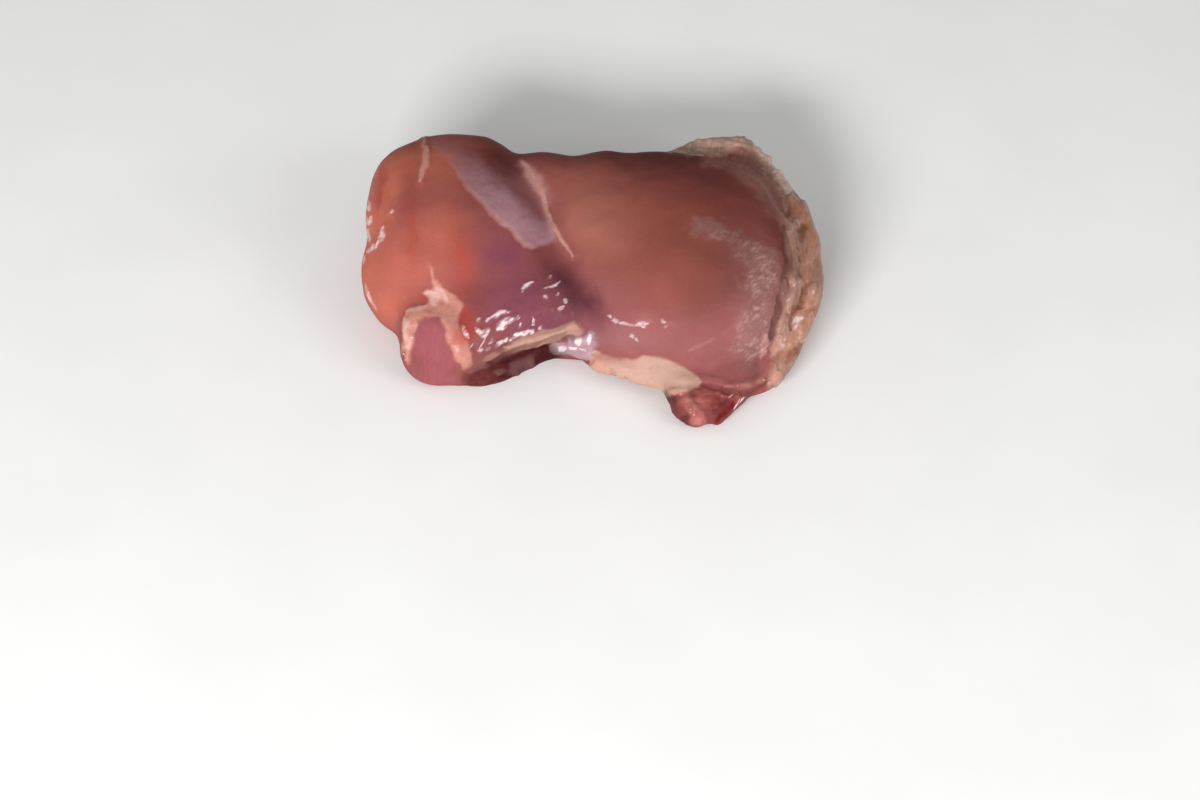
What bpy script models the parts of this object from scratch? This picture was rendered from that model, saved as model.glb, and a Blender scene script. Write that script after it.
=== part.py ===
"""A raw boneless chicken thigh, lying folded with its smooth side up.

The solid is made like the cut itself. The muscle bellies are rounded lobes, fused and softened
where they meet. Grooves and folds are pressed in between them. The fat and the loose ends are
rolls of tissue laid on the meat and fused to it, and the whole is flat where it lies on the table.

The frame is in metres, +X to the wide rounded end, +Y to the back, +Z up. The origin is on the
table, at the centre of the thigh's outline from above.
"""

import math

import bmesh
import bpy
from mathutils import Euler, Matrix, Vector, noise
from mathutils.bvhtree import BVHTree

LENGTH = 0.108

# All places, radii, widths, depths and voxels below are in hundredths of the thigh's length.
SHARE = LENGTH / 100

MEAT_VOXEL = 1.25
MEAT_SOFTENING = 12
SKIN_VOXEL = 0.8
SKIN_SOFTENING = 4
SOFTENING_FACTOR = 0.5
FACES_KEPT = 0.11

UNEVEN_SPAN = 13
UNEVEN_HEIGHT = 0.9

# A groove has this share of its way along left over at each end, so that it starts shallow.
GROOVE_END = 0.12

CUT_FACE_CENTRE = (-35.5, -27.5, 10.5)
CUT_FACE_OUTWARD = (-0.3, -0.78, 0.55)
CUT_FACE_REACH = 16
CUT_FACE_DEPTH = 0.5
CUT_FACE_FLATNESS = 0.8

TABLE_WIDTH = 0.3
TABLE_THICKNESS = 0.1

LOBE_SEGMENTS = 48
LOBE_RINGS = 24
ROLL_SIDE_STEPS = 5
ROLL_LENGTH_STEPS = 8
ROLL_ORDER = 3

FLESH_COLOUR = (0.52, 0.20, 0.15, 1.0)
FLESH_ROUGHNESS = 0.3


# Building blocks


def clear_scene():
    for obj in list(bpy.data.objects):
        bpy.data.objects.remove(obj, do_unlink=True)


def new_object(name, data):
    obj = bpy.data.objects.new(name, data)
    bpy.context.scene.collection.objects.link(obj)
    return obj


def object_from_body(name, body):
    mesh = bpy.data.meshes.new(name)
    body.to_mesh(mesh)
    body.free()
    return new_object(name, mesh)


def evaluated_mesh(obj):
    bpy.context.view_layer.update()
    depsgraph = bpy.context.evaluated_depsgraph_get()
    return bpy.data.meshes.new_from_object(obj.evaluated_get(depsgraph))


def add_lobe(body, centre, radii, turn=0.0, fullness=2.0):
    """Adds a muscle belly: an ellipsoid, or a boxier one where its fullness is over 2."""
    place = (
        Matrix.Translation(Vector(centre) * SHARE)
        @ Euler((0.0, 0.0, math.radians(turn))).to_matrix().to_4x4()
        @ Matrix.Diagonal((*(Vector(radii) * SHARE), 1.0))
    )
    made = bmesh.ops.create_uvsphere(
        body, u_segments=LOBE_SEGMENTS, v_segments=LOBE_RINGS, radius=1.0
    )
    for vert in made["verts"]:
        reach = sum(abs(part) ** fullness for part in vert.co) ** (1 / fullness)
        vert.co = place @ (vert.co / reach)


def add_roll(body, points, radii):
    """Adds a tapered roll of tissue along a smooth path, round in section."""
    curve = bpy.data.curves.new("roll", "CURVE")
    curve.dimensions = "3D"
    curve.bevel_depth = SHARE
    curve.bevel_resolution = ROLL_SIDE_STEPS
    curve.use_fill_caps = True
    curve.resolution_u = ROLL_LENGTH_STEPS
    spline = curve.splines.new("NURBS")
    spline.points.add(len(points) - 1)
    spline.use_endpoint_u = True
    spline.order_u = ROLL_ORDER
    for point, place, radius in zip(spline.points, points, radii):
        point.co = (*(Vector(place) * SHARE), 1.0)
        point.radius = radius
    guide = new_object("roll", curve)
    mesh = evaluated_mesh(guide)
    body.from_mesh(mesh)
    bpy.data.objects.remove(guide, do_unlink=True)
    bpy.data.curves.remove(curve)
    bpy.data.meshes.remove(mesh)


def surface_tree(mesh):
    corners = [vert.co for vert in mesh.vertices]
    return BVHTree.FromPolygons(corners, [face.vertices for face in mesh.polygons])


def laid_on(tree, points, sunk=0.0):
    """The points moved to the nearest places on the surface, then inwards by sunk."""
    laid = []
    for point in points:
        place, normal, _, _ = tree.find_nearest(Vector(point) * SHARE)
        laid.append(place / SHARE - normal * sunk)
    return laid


def nearest_on_path(path, here):
    """The distance to the path, and the share of the way along it where it is nearest."""
    last = len(path) - 1
    gaps = []
    for index in range(last):
        step = path[index + 1] - path[index]
        share = (here - path[index]).dot(step) / step.length_squared
        share = min(1.0, max(0.0, share))
        gap = (here - path[index] - step * share).length
        gaps.append((gap, (index + share) / last))
    return min(gaps)


def press_groove(mesh, points, width, depth):
    """Presses a groove into the surface along a path, deepest in the middle of its length."""
    path = laid_on(surface_tree(mesh), points)
    places = []
    for vert in mesh.vertices:
        gap, along = nearest_on_path(path, vert.co / SHARE)
        length_fade = math.sin(math.pi * (GROOVE_END + (1 - 2 * GROOVE_END) * along))
        fade = math.exp(-((gap / width) ** 2)) * length_fade
        places.append(vert.co - vert.normal * depth * fade * SHARE)
    for vert, place in zip(mesh.vertices, places):
        vert.co = place


# Muscle bellies


def right_mound(body):
    add_lobe(body, (17.5, -3.5, 10.5), (31, 26.5, 18.5), turn=-24, fullness=2.3)
    add_lobe(body, (4.5, 4.5, 11), (20, 24.3, 17.2), turn=20, fullness=2.3)
    add_lobe(body, (13, 6, 11), (18, 23.5, 16.6), turn=-4, fullness=2.3)
    add_lobe(body, (22, 6, 11), (22, 23, 15.5), turn=-24, fullness=2.4)


def left_mound(body):
    add_lobe(body, (-31.5, 8, 11.6), (18.5, 24.8, 16.4), turn=6, fullness=2.8)
    add_lobe(body, (-22.5, 5, 11.5), (17.5, 25.5, 15.8), turn=26, fullness=2.1)
    add_lobe(body, (-38.8, -1, 10), (11.6, 16, 12.8), turn=-4, fullness=2.4)


def valley_bridge(body):
    add_lobe(body, (-9, 8, 11), (18, 21, 12.2), turn=14, fullness=2.2)
    add_lobe(body, (-10, 12, 12), (14, 17, 14.6), turn=10)
    add_lobe(body, (-15, -8.5, 9.5), (18, 15.5, 11.3), fullness=2.3)


def cut_end(body):
    add_lobe(body, (-32.6, -18.5, 7.2), (9.8, 12.5, 9), turn=12, fullness=2.8)
    add_lobe(body, (-26, -13, 9), (14, 14, 9.6), turn=-10)


def inner_flap(body):
    add_lobe(body, (-22, -11.5, 2.5), (16, 13.5, 6.5), turn=-24)
    add_lobe(body, (-24, -19, 2.8), (12.5, 11, 5.4), turn=8)
    add_lobe(body, (11, -7, 2.5), (33, 18, 7.5), turn=-8)
    add_lobe(body, (-25, 3.5, 2.5), (21, 24, 8.5))


def fused_meat():
    bellies = bmesh.new()
    for belly in (right_mound, left_mound, valley_bridge, cut_end, inner_flap):
        belly(bellies)
    meat = object_from_body("meat", bellies)
    add_fuse(meat, MEAT_VOXEL, MEAT_SOFTENING)
    fused = evaluated_mesh(meat)
    bpy.data.objects.remove(meat, do_unlink=True)
    return fused


# Grooves, folds and the cut face


def flatten_cut_face(mesh):
    """Flattens the end where the muscle was cut across."""
    centre = Vector(CUT_FACE_CENTRE)
    outward = Vector(CUT_FACE_OUTWARD).normalized()
    for vert in mesh.vertices:
        offset = vert.co / SHARE - centre
        height = offset.dot(outward) + CUT_FACE_DEPTH
        away = (offset - outward * offset.dot(outward)).length / CUT_FACE_REACH
        if height > 0 and away < 1:
            vert.co -= outward * height * CUT_FACE_FLATNESS * (1 - away**4) * SHARE


def press_valley(mesh):
    path = [
        (-14.4, 16, 23), (-10.1, 4.5, 22.5), (-6.9, -4, 21),
        (-4.1, -9, 20), (-0.4, -18, 16), (1.7, -23.5, 12),
    ]
    press_groove(mesh, path, 4.0, 1.4)
    press_groove(mesh, path, 1.3, 1.5)


def press_belly_seam(mesh):
    path = [(-38, 22, 24), (-38.5, 12, 25), (-39, 2, 24), (-38, -6, 20)]
    press_groove(mesh, path, 1.8, 0.8)


def press_cut_end_seams(mesh):
    left = [(-44, -22, 5), (-42, -17, 10), (-38.5, -12.5, 13), (-34.4, -11, 14)]
    right = [(-35.5, -11, 14), (-31.5, -14, 13), (-28.5, -19, 10), (-27.5, -25, 4)]
    press_groove(mesh, left, 1.8, 0.7)
    press_groove(mesh, right, 1.6, 0.6)


def press_rim_seam(mesh):
    path = [
        (28, 22, 24), (36, 17, 22), (41, 9, 20), (43, 0, 18),
        (42.5, -9, 16), (39.5, -17, 13), (34, -24, 10),
    ]
    press_groove(mesh, path, 1.9, 1.7)


def press_fold_under(mesh):
    """Presses the long fold where the two tucked edges meet on the underside."""
    path = [(-44, 2, -6), (-28, -5, -6), (-10, -2, -6), (8, -6, -6), (24, -1, -6), (42, -4, -6)]
    press_groove(mesh, path, 3.2, 10)


def press_fold_behind(mesh):
    path = [(-40, 30, 8), (-20, 34, 8), (5, 32, 8), (30, 30, 9)]
    press_groove(mesh, path, 2.2, 2.2)


def press_tuck_under_fat(mesh):
    path = [(-2, -20, 1), (6, -26, 1.5), (12, -29, 1.5), (18, -31, 1)]
    press_groove(mesh, path, 3.4, 1.5)


def add_unevenness(mesh):
    for vert in mesh.vertices:
        swell = noise.noise(vert.co / (UNEVEN_SPAN * SHARE))
        vert.co += vert.normal * swell * UNEVEN_HEIGHT * SHARE


# Fat and loose ends


def tucked_tip(body, _):
    left = [(21.5, -22, 6), (20.5, -29, 5), (20.3, -35, 4), (22, -41.5, 2.8)]
    right = [(31, -22, 6.5), (30, -29, 5.5), (28, -34.5, 4.5), (25, -41.5, 2.6)]
    add_roll(body, left, [5, 5.6, 5.1, 2.8])
    add_roll(body, right, [6.5, 6.6, 5.0, 2.2])
    add_lobe(body, (24.6, -34, 3.8), (6, 8, 3.6), turn=8)


def fat_rim(body, tree):
    band = [
        (4, 27, 14), (14, 28, 14), (24, 27, 14), (33, 25, 14), (40, 17, 14), (45, 8, 13),
        (47, -2, 11), (46, -12, 10), (42, -21, 8), (36, -28, 6), (30, -32, 4),
    ]
    add_roll(body, laid_on(tree, band, 1.2), [1.6, 2.6, 4, 5.2, 5, 5.2, 4.4, 4.4, 4.2, 4, 2.2])
    corner = [(14, 25, 18), (21, 27.5, 18), (28, 29, 18), (34.5, 29.8, 17.8), (39.5, 24, 15.5)]
    add_roll(body, corner, [1.6, 2.8, 3.6, 3.2, 2.4])


def rim_end(body, _):
    end = [(45, -13, 9), (43, -20, 7.7), (39.8, -25.8, 5.7), (36.6, -30.2, 3.7), (33, -32, 2.7)]
    add_roll(body, end, [2.4, 3.6, 3.7, 3.2, 1.6])


def front_fat(body, _):
    strip = [
        (-5, -20, 5.5), (-0.5, -24.2, 4.4), (5, -26.4, 4.6),
        (12.5, -29.2, 4.9), (18, -30.6, 5), (23.5, -31, 5.2),
    ]
    add_roll(body, strip, [1.0, 2.2, 2.4, 2.8, 2.6, 1.2])


def front_lip(body, tree):
    edge = [(-29, -29, 7), (-22, -27, 9), (-15, -25, 10), (-8, -23, 11), (-4, -22, 10)]
    tendon = [(-6.5, -22, 10.5), (-2, -23.5, 10), (2, -25, 9.5)]
    add_roll(body, laid_on(tree, edge, 0.7), [1.2, 1.8, 2.0, 1.9, 2.4])
    add_roll(body, laid_on(tree, tendon, 0.6), [1.8, 2.9, 1.4])


# The whole thigh


def add_fuse(obj, voxel, softening):
    fuse = obj.modifiers.new("fuse", "REMESH")
    fuse.mode = "VOXEL"
    fuse.voxel_size = voxel * SHARE
    soften = obj.modifiers.new("soften", "SMOOTH")
    soften.factor = SOFTENING_FACTOR
    soften.iterations = softening


def add_table_cut(obj):
    """Cuts the thigh flat where it lies on the table, and returns the table block."""
    middle = Matrix.Translation((0, 0, -TABLE_THICKNESS / 2))
    size = Matrix.Diagonal((TABLE_WIDTH, TABLE_WIDTH, TABLE_THICKNESS, 1))
    block = bmesh.new()
    bmesh.ops.create_cube(block, size=1.0, matrix=middle @ size)
    table = object_from_body("table_cutter", block)
    table.hide_render = True
    table.display_type = "WIRE"
    cut = obj.modifiers.new("rest", "BOOLEAN")
    cut.operation = "DIFFERENCE"
    cut.solver = "EXACT"
    cut.object = table
    return table


def centre_outline(mesh):
    """Moves the mesh so that its outline from above is centred on the origin."""
    middle = [0.0, 0.0]
    for axis in range(2):
        places = [vert.co[axis] for vert in mesh.vertices]
        middle[axis] = (min(places) + max(places)) / 2
    mesh.transform(Matrix.Translation((-middle[0], -middle[1], 0.0)))


def flesh_material():
    material = bpy.data.materials.new("raw_flesh")
    material.use_nodes = True
    shader = material.node_tree.nodes["Principled BSDF"]
    shader.inputs["Base Color"].default_value = FLESH_COLOUR
    shader.inputs["Roughness"].default_value = FLESH_ROUGHNESS
    shader.inputs["Metallic"].default_value = 0.0
    return material


def grooved_meat():
    meat = fused_meat()
    flatten_cut_face(meat)
    press_valley(meat)
    press_belly_seam(meat)
    press_cut_end_seams(meat)
    press_rim_seam(meat)
    press_fold_under(meat)
    press_fold_behind(meat)
    press_tuck_under_fat(meat)
    add_unevenness(meat)
    return meat


def thigh_mesh():
    meat = grooved_meat()
    tree = surface_tree(meat)
    body = bmesh.new()
    body.from_mesh(meat)
    for tissue in (tucked_tip, fat_rim, rim_end, front_fat, front_lip):
        tissue(body, tree)
    soft = object_from_body("soft_thigh", body)
    add_fuse(soft, SKIN_VOXEL, SKIN_SOFTENING)
    thin = soft.modifiers.new("thin", "DECIMATE")
    thin.ratio = FACES_KEPT
    table = add_table_cut(soft)
    mesh = evaluated_mesh(soft)
    for helper in (soft, table):
        bpy.data.objects.remove(helper, do_unlink=True)
    return mesh


def chicken_thigh():
    mesh = thigh_mesh()
    centre_outline(mesh)
    mesh.name = "chicken_thigh"
    mesh.materials.clear()
    mesh.materials.append(flesh_material())
    new_object("chicken_thigh", mesh)


clear_scene()
chicken_thigh()
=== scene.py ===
import math
from contextlib import contextmanager

import bmesh
import bpy
import numpy as np
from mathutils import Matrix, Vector, noise
from mathutils.bvhtree import BVHTree


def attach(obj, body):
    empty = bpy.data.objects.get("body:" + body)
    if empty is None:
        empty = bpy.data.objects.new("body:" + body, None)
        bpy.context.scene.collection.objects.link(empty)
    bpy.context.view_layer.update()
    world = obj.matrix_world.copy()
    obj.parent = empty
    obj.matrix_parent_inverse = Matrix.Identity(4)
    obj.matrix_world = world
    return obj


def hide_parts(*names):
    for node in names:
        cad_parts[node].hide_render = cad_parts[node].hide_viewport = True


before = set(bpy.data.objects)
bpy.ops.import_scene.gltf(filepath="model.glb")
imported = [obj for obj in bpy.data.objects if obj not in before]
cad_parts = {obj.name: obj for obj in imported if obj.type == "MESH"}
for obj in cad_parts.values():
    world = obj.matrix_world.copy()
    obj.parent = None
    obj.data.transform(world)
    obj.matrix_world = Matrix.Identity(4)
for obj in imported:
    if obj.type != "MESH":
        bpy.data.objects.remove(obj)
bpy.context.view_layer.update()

# A raw chicken thigh on a pale table. The imported solid is remeshed finely, carved with the
# seams, folds, fat and fibre of the real meat, and painted with one mask for each tissue and for
# each kind of painted light and shade.
# Places in the photograph are pixels of its 1200 by 800 frame.

MM = 0.001

PHOTO_WIDTH = 1200
PHOTO_HEIGHT = 800
CAMERA_AIM = Vector((0.00176, -0.0296, 0.0))
CAMERA_TILT = math.radians(45)
CAMERA_DISTANCE = 0.658
CAMERA_LENS = 85
SENSOR_WIDTH = 36

# The meat's even faces: how far apart vertices count as one, the face size, and how often the
# whole and the two dips are smoothed.
SAME_PLACE = 0.001 * MM
MEAT_VOXEL = 0.72 * MM
MEAT_SOFTENING = 7
DIP_SOFTENING = 62

# The share of its bulge that the cut face loses.
CUT_FACE_FLATNESS = 0.6
RIM_LENGTH = 115 * MM


# Camera and photograph


def camera_back():
    """The direction from the aim to the camera."""
    return Vector((0.0, -math.cos(CAMERA_TILT), math.sin(CAMERA_TILT)))


def camera_up():
    return Vector((0.0, math.sin(CAMERA_TILT), math.cos(CAMERA_TILT)))


def camera_place():
    return CAMERA_AIM + camera_back() * CAMERA_DISTANCE


def focal_pixels():
    return CAMERA_LENS / SENSOR_WIDTH * PHOTO_WIDTH


def photo_pixels(places):
    """The pixels of the photograph at which the camera sees the places."""
    offset = places - np.array(camera_place())
    depth = -offset @ np.array(camera_back())
    across = PHOTO_WIDTH / 2 + focal_pixels() * offset[:, 0] / depth
    down = PHOTO_HEIGHT / 2 - focal_pixels() * (offset @ np.array(camera_up())) / depth
    return np.stack((across, down), axis=1)


def sight_line(pixel):
    """The direction in which the camera sees a pixel of the photograph."""
    across = (pixel[0] - PHOTO_WIDTH / 2) / focal_pixels()
    upward = (PHOTO_HEIGHT / 2 - pixel[1]) / focal_pixels()
    return (Vector((across, 0.0, 0.0)) + camera_up() * upward - camera_back()).normalized()


def add_camera():
    camera = bpy.data.cameras.new("camera")
    camera.lens = CAMERA_LENS
    camera.sensor_width = SENSOR_WIDTH
    holder = bpy.data.objects.new("camera", camera)
    bpy.context.scene.collection.objects.link(holder)
    holder.location = camera_place()
    holder.rotation_mode = "QUATERNION"
    holder.rotation_quaternion = (-camera_back()).to_track_quat("-Z", "Y")
    bpy.context.scene.camera = holder


# Fields over the meat's surface


def soft_step(value, low, high):
    """0 below low, 1 above high, and a smooth rise in between."""
    share = np.clip((value - low) / (high - low), 0.0, 1.0)
    return share * share * (3 - 2 * share)


def gap_to_path(places, path):
    """Each place's distance to the path, and the share of the way along it where it is nearest."""
    path = np.array(path, float)
    best = np.full(len(places), 1e9)
    along = np.zeros(len(places))
    last = len(path) - 1
    for index in range(last):
        step = path[index + 1] - path[index]
        share = np.clip((places - path[index]) @ step / (step @ step), 0.0, 1.0)
        gap = np.linalg.norm(places - path[index] - share[:, None] * step, axis=1)
        nearer = gap < best
        best[nearer] = gap[nearer]
        along[nearer] = (index + share[nearer]) / last
    return best, along


def depth_inside(places, outline):
    """How far inside a closed outline each place is, negative outside it."""
    outline = np.array(outline, float)
    edge = np.vstack((outline, outline[:1]))
    gap, _ = gap_to_path(places, edge)
    inside = np.zeros(len(places), bool)
    for (x0, y0), (x1, y1) in zip(edge[:-1], edge[1:]):
        crosses = (y0 > places[:, 1]) != (y1 > places[:, 1])
        if y0 != y1:
            at = x0 + (places[:, 1] - y0) * (x1 - x0) / (y1 - y0)
            inside ^= crosses & (places[:, 0] < at)
    return np.where(inside, gap, -gap)


def swells(places, spans, seed=0.0, octaves=1):
    """Smooth noise from about -1 to 1, with its span along X, Y and Z in millimetres."""
    scaled = places / MM / np.array(spans, float) + seed
    if octaves == 1:
        return np.array([noise.noise(Vector(place)) for place in scaled])
    return np.array([noise.fractal(Vector(place), 1.0, 2.0, octaves) for place in scaled])


def creases(places, spans, seed=0.0, octaves=1):
    """Noise with rounded tops at 1 and narrow valleys below 0, as wrinkled skin has."""
    return 2.6 * np.abs(swells(places, spans, seed, octaves)) - 0.3


def turned(places, degrees):
    """The places turned about Z."""
    cosine = math.cos(math.radians(degrees))
    sine = math.sin(math.radians(degrees))
    return places @ np.array(((cosine, sine, 0.0), (-sine, cosine, 0.0), (0.0, 0.0, 1.0)))


class Surface:
    """The meat's vertices with their normals, their pixels in the photograph and their fields."""

    def __init__(self, mesh):
        count = len(mesh.vertices)
        self.places = np.zeros(count * 3, np.float32)
        mesh.vertices.foreach_get("co", self.places)
        self.places = self.places.reshape(-1, 3).astype(float)
        self.normals = np.zeros(count * 3, np.float32)
        mesh.vertex_normals.foreach_get("vector", self.normals)
        self.normals = self.normals.reshape(-1, 3).astype(float)
        self.pixels = photo_pixels(self.places)
        self.facing = self.normals @ np.array(camera_back())
        uneven = 0.25 * swells(self.places, (8, 8, 8), seed=141.0, octaves=2)
        self.seen = soft_step(self.facing + uneven, -0.5, 0.05)
        shifts = [swells(self.places, (3, 3, 3), seed, octaves=3) for seed in (7.0, 31.0)]
        self.shift = np.stack(shifts, axis=1)
        self.height = np.zeros(count)
        self.masks = {}

    def wavy_pixels(self, amount):
        """The pixels, shifted by noise, so that an outline read from them is irregular."""
        return self.pixels + self.shift * amount

    def area(self, outline, soft, wavy=2.0):
        """1 well inside a pixel outline, fading to 0 over the soft width on both sides of it."""
        inside = depth_inside(self.wavy_pixels(wavy), outline)
        return soft_step(inside, -soft, soft) * self.seen

    def stroke(self, path, width, wavy=1.0, taper=0.0):
        """1 along a pixel path, fading to 0 at its width, and thinner towards its ends."""
        gap, along = gap_to_path(self.wavy_pixels(wavy), path)
        ends = 1 - taper * (2 * along - 1) ** 2
        return soft_step(1 - gap / (width * ends), 0.0, 0.6) * self.seen

    def roll(self, path, width, wavy=1.0):
        """A round ridge along a pixel path, 1 in its middle and 0 at its width."""
        gap, _ = gap_to_path(self.wavy_pixels(wavy), path)
        return np.sqrt(np.clip(1 - (gap / width) ** 2, 0.0, 1.0)) * self.seen

    def spot(self, centre, radii, degrees=0.0, wavy=4.0):
        """A soft round patch about a pixel, with its two radii and the turn of the first."""
        offset = self.wavy_pixels(wavy) - np.array(centre, float)
        cosine = math.cos(math.radians(degrees))
        sine = math.sin(math.radians(degrees))
        across = (offset[:, 0] * cosine + offset[:, 1] * sine) / radii[0]
        down = (offset[:, 1] * cosine - offset[:, 0] * sine) / radii[1]
        return np.exp(-(across ** 2 + down ** 2)) * self.seen

    def paint_spots(self, tissue, strength, spots):
        """Paints a tissue in soft patches, each with its middle, two radii and turn."""
        for centre, radii, degrees in spots:
            self.paint(tissue, strength * self.spot(centre, radii, degrees))

    def above_plane(self, mask):
        """How many millimetres each place lies above the mean plane of the masked part."""
        middle = (self.places * mask[:, None]).sum(axis=0) / mask.sum()
        outward = (self.normals * mask[:, None]).sum(axis=0)
        return (self.places - middle) @ (outward / np.linalg.norm(outward)) / MM

    def paint(self, tissue, mask):
        """Adds to a tissue's mask, keeping the larger value."""
        old = self.masks.get(tissue, np.zeros(len(self.places)))
        self.masks[tissue] = np.maximum(old, mask)

    def wash(self, tissue, mask):
        """Lays a thin wash over a tissue's mask, so that washes add up."""
        old = self.masks.get(tissue, np.zeros(len(self.places)))
        self.masks[tissue] = 1 - (1 - old) * (1 - np.clip(mask, 0, 1))

    def carve(self, amount_mm):
        """Moves the surface outwards by so many millimetres."""
        self.height = self.height + amount_mm


# Places in the photograph

# The broad colours: for each tissue the strength, middle, two radii and turn of its patches; some
# of them are painted light and shade, as marked.
BROAD_COLOURS = {
    # Partly painted shade: darker over the tops of the mounds, where less light falls.
    "umber_and_shade": [
        (1.0, (660, 150), (110, 24), 0), (0.45, (740, 176), (46, 30), 35),
        (0.6, (784, 226), (16, 46), -8), (0.5, (700, 206), (40, 26), 20),
        (0.8, (500, 164), (28, 18), 35), (0.25, (692, 206), (36, 26), 0),
    ],
    "tan": [(1.0, (632, 226), (72, 46), 15), (1.0, (706, 262), (56, 44), 30)],
    # Painted light: a paler patch on the lit left side of the right mound.
    "clay_lit_side": [(1.0, (590, 220), (34, 46), -25)],
    "rose": [
        (1.0, (640, 338), (70, 24), 5), (1.0, (600, 300), (26, 34), -30),
        (1.0, (706, 350), (60, 24), 0), (1.0, (752, 330), (30, 44), 0),
    ],
    "sienna": [(1.0, (396, 160), (34, 20), -20), (1.0, (440, 164), (24, 26), 30)],
    "apricot": [
        (0.6, (368, 262), (12, 40), 5), (0.4, (384, 308), (14, 16), -40),
        (0.9, (374, 218), (11, 30), 6), (0.9, (388, 190), (14, 32), 6),
    ],
    "coral": [
        (1.0, (398, 262), (40, 46), 0), (1.0, (442, 232), (30, 44), -10),
        (1.0, (392, 305), (26, 22), 20),
    ],
    "ember": [
        (0.6, (464, 262), (13, 34), -8), (0.8, (380, 188), (5, 30), 8), (0.5, (446, 300), (20, 12), 0),
        (0.5, (412, 225), (7, 40), 0),
    ],
    "plum": [
        (1.0, (506, 256), (26, 20), 30), (1.0, (520, 300), (48, 34), -20),
        (1.0, (548, 322), (40, 18), -20), (0.5, (603, 321), (22, 12), 35),
    ],
    # Painted shadow in the valley between the mounds.
    "plum_shadow": [
        (0.8, (566, 282), (26, 13), 42), (0.45, (590, 304), (24, 15), 44),
        (0.15, (548, 264), (13, 9), 45), (0.5, (575, 303), (14, 11), 45),
    ],
    "dusk": [(1.0, (742, 286), (46, 54), 0), (0.4, (700, 326), (34, 22), 0)],
    "veil": [(0.22, (622, 338), (38, 15), 8)],
}

# The seam between the mounds, the silvery skin on its slope, and the left mound.
SEAM = [
    (522, 163), (529, 171), (536, 181), (541, 191), (544, 201), (547, 211), (551, 223), (559, 235),
    (567, 246), (573, 256),
]
SEAM_TAIL = [(573, 256), (582, 268), (590, 286), (600, 308)]
VEIL_EDGE = [
    (431, 145), (449, 160), (465, 185), (480, 201), (494, 215), (506, 226), (513, 231), (518, 239),
    (524, 245), (531, 248), (537, 246),
]
VEIL = [
    (428, 140), (431, 146), (449, 160), (465, 185), (480, 201), (494, 215), (506, 227), (513, 231),
    (517, 238), (523, 244), (531, 248), (537, 245), (546, 244), (556, 240), (552, 222), (547, 206),
    (540, 188), (528, 176), (512, 168), (490, 158), (466, 148), (446, 138),
]
VEIL_THICK = (521, 190)
# The rows between which the veil fades in.
VEIL_ROWS = (140, 205)
LEFT_LINE = [(424, 138), (426, 152), (426, 164), (422, 175), (420, 182)]
LEFT_LINE_TAIL = [(420, 182), (419, 206), (416, 240)]
RAW_EDGE = [
    (360, 252), (365, 220), (370, 190), (378, 168), (394, 160), (400, 178), (394, 205), (388, 228),
    (374, 248),
]
LEFT_RIM_LIGHT = [(365, 283), (367, 292), (371, 301), (377, 311)]

# The cut end of the left muscle, with the ragged fat round it.
CHEVRON = [
    (428, 264), (432, 271), (435, 279), (439, 286), (448, 290), (457, 296), (463, 303), (461, 312),
    (459, 320), (460, 330), (463, 338), (469, 346), (474, 354), (472, 363), (462, 368), (457, 361),
    (451, 349), (447, 339), (444, 326), (441, 317), (430, 317), (418, 320), (415, 328), (414, 338),
    (413, 346), (409, 356), (407, 365), (403, 356), (402, 346), (403, 332), (404, 320), (407, 311),
    (417, 307), (425, 305), (431, 301), (425, 294), (429, 290), (434, 288), (433, 280), (430, 272),
]
CHEVRON_PALE_AND_GLINT = [
    [(436, 288), (440, 294), (446, 300)], [(409, 311), (416, 308), (425, 307)],
    [(427, 292), (434, 296), (436, 304)], [(406, 320), (406, 332), (408, 346)],
]
CUT_END_NECK = [(394, 292), (408, 284), (430, 282), (444, 288), (440, 306), (420, 314), (402, 314)]
CUT_END_ORANGE = (459, 338)
CUT_FACE_DARK = (414, 366)
CUT_FACE_SHADED_CORNER = (462, 374)
CUT_END_RED = [
    (461, 304), (469, 305), (476, 314), (479, 326), (476, 338), (467, 347), (455, 346), (452, 334),
    (457, 322), (459, 312),
]
CUT_FACE = [
    (415, 330), (417, 322), (428, 318), (441, 316), (445, 327), (448, 340), (452, 350), (458, 362),
    (464, 372), (458, 384), (446, 392), (420, 384), (404, 370), (409, 356), (413, 346),
]

# The lip of skin over the front fold, and the fold under it.
LIP = [
    (464, 366), (478, 357), (490, 352), (501, 347), (512, 343), (522, 338), (534, 335), (550, 331),
    (562, 328), (568, 324), (573, 321), (579, 324), (583, 331), (581, 337), (575, 335), (567, 336),
    (555, 341), (542, 344), (534, 347), (522, 350), (511, 355), (499, 359), (488, 361), (476, 366),
    (466, 371),
]
# The columns between which the lip rises, and those between which it turns pale.
LIP_RISE = (470, 515)
LIP_PALING = (495, 565)
LIP_LINE = [
    (464, 368), (478, 361), (496, 354), (512, 348), (530, 341), (548, 336), (562, 332), (572, 326),
]
LIP_RIDGES = [
    [(503, 351), (514, 345), (524, 341)], [(508, 356), (520, 349), (532, 344)],
    [(528, 340), (540, 336), (553, 333)], [(536, 345), (550, 340), (562, 335)],
    [(560, 331), (568, 327), (574, 324), (580, 330)], [(482, 360), (492, 356), (500, 353)],
]
LIP_CREST_HIGHLIGHT = [(503, 348), (520, 341), (536, 335), (552, 331), (564, 327), (573, 322)]
LIP_CREASES = [
    [(488, 362), (500, 356), (514, 350), (532, 344), (546, 339)], [(541, 341), (556, 336), (567, 331)],
]
LIP_HOLE = [(564, 338), (569, 336), (573, 337)]
UNDER_LIP = [
    (464, 373), (480, 367), (490, 362), (503, 359), (520, 352), (534, 349), (548, 344), (556, 342),
    (556, 354), (560, 366), (530, 380), (500, 392), (464, 394),
]
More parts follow.
